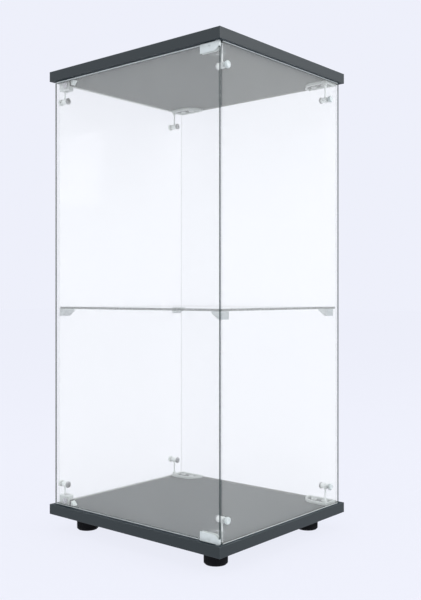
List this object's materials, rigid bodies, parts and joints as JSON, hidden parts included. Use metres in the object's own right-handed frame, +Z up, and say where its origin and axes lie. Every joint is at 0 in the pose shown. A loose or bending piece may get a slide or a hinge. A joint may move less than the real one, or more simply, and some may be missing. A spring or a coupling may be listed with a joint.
{
  "type": "tower display case",
  "caption": "Upright glass display case: two dark boards on round feet, four glass panes held by corner brackets, a hinged front pane and a loose glass shelf.",
  "frame": {"origin": "on the floor, under the middle of the case", "axes": "+X to the right of a viewer facing the door, +Y towards the back, +Z up"},
  "size_m": [0.405, 0.36, 0.838],
  "materials": {
    "laminate": "matte charcoal laminate on particle board",
    "edging": "matte charcoal edging",
    "glass": "clear polished",
    "clear_plastic": "clear moulded",
    "frosted_plastic": "translucent white, moulded",
    "stem_plastic": "translucent white rod",
    "white_plastic": "white, satin moulded",
    "soft_washer": "clear soft washer",
    "dark_steel": "dark zinc",
    "bright_steel": "bright zinc",
    "magnet": "nickel plated",
    "foot_plastic": "black moulded",
    "foot_rubber": "black rubber"
  },
  "bodies": {
    "case": {"bottom_board": "laminate", "bottom_board_edging": "edging", "top_board": "laminate", "top_board_edging": "edging", "left_side_glass": "glass", "right_side_glass": "glass", "back_glass": "glass", "shelf_rest_front_left": "clear_plastic", "bottom_bracket_front_left": "frosted_plastic", "bottom_clamp_barrel_front_left": "frosted_plastic", "top_bracket_front_left": "frosted_plastic", "top_clamp_barrel_front_left": "frosted_plastic", "shelf_rest_back_left": "clear_plastic", "bottom_bracket_back_left": "frosted_plastic", "bottom_clamp_barrel_back_left": "frosted_plastic", "top_bracket_back_left": "frosted_plastic", "top_clamp_barrel_back_left": "frosted_plastic", "shelf_rest_front_right": "clear_plastic", "bottom_bracket_front_right": "frosted_plastic", "bottom_clamp_barrel_front_right": "frosted_plastic", "top_bracket_front_right": "frosted_plastic", "top_clamp_barrel_front_right": "frosted_plastic", "shelf_rest_back_right": "clear_plastic", "bottom_bracket_back_right": "frosted_plastic", "bottom_clamp_barrel_back_right": "frosted_plastic", "top_bracket_back_right": "frosted_plastic", "top_clamp_barrel_back_right": "frosted_plastic", "bracket_stems": "stem_plastic", "clamp_screws": "dark_steel", "clamp_washers": "soft_washer", "clamp_knobs": "white_plastic", "bracket_screws": "bright_steel", "hinge_pin_bottom": "bright_steel", "hinge_pin_top": "bright_steel", "hinge_washers": "white_plastic", "catch_magnets": "magnet", "foot_front_left": "foot_plastic", "foot_front_right": "foot_plastic", "foot_back_left": "foot_plastic", "foot_back_right": "foot_plastic", "foot_pads": "foot_rubber", "foot_screws": "bright_steel"},
    "door": {"door_glass": "glass", "door_shoe_bottom": "white_plastic", "door_shoe_top": "white_plastic", "door_shoe_screws": "dark_steel", "door_strike_plates": "bright_steel"},
    "shelf": {"shelf_glass": "glass"}
  },
  "joints": [
    {"name": "door_swing", "type": "hinge", "parent": "case", "child": "door", "pos_m": [0.1915, -0.171, 0.4325], "axis": [0, 0, 1], "range_deg": [0, 110]},
    {"name": "shelf_lift", "type": "slide", "parent": "case", "child": "shelf", "axis": [0, 0, 1], "range_m": [0, 0.06]}
  ]
}
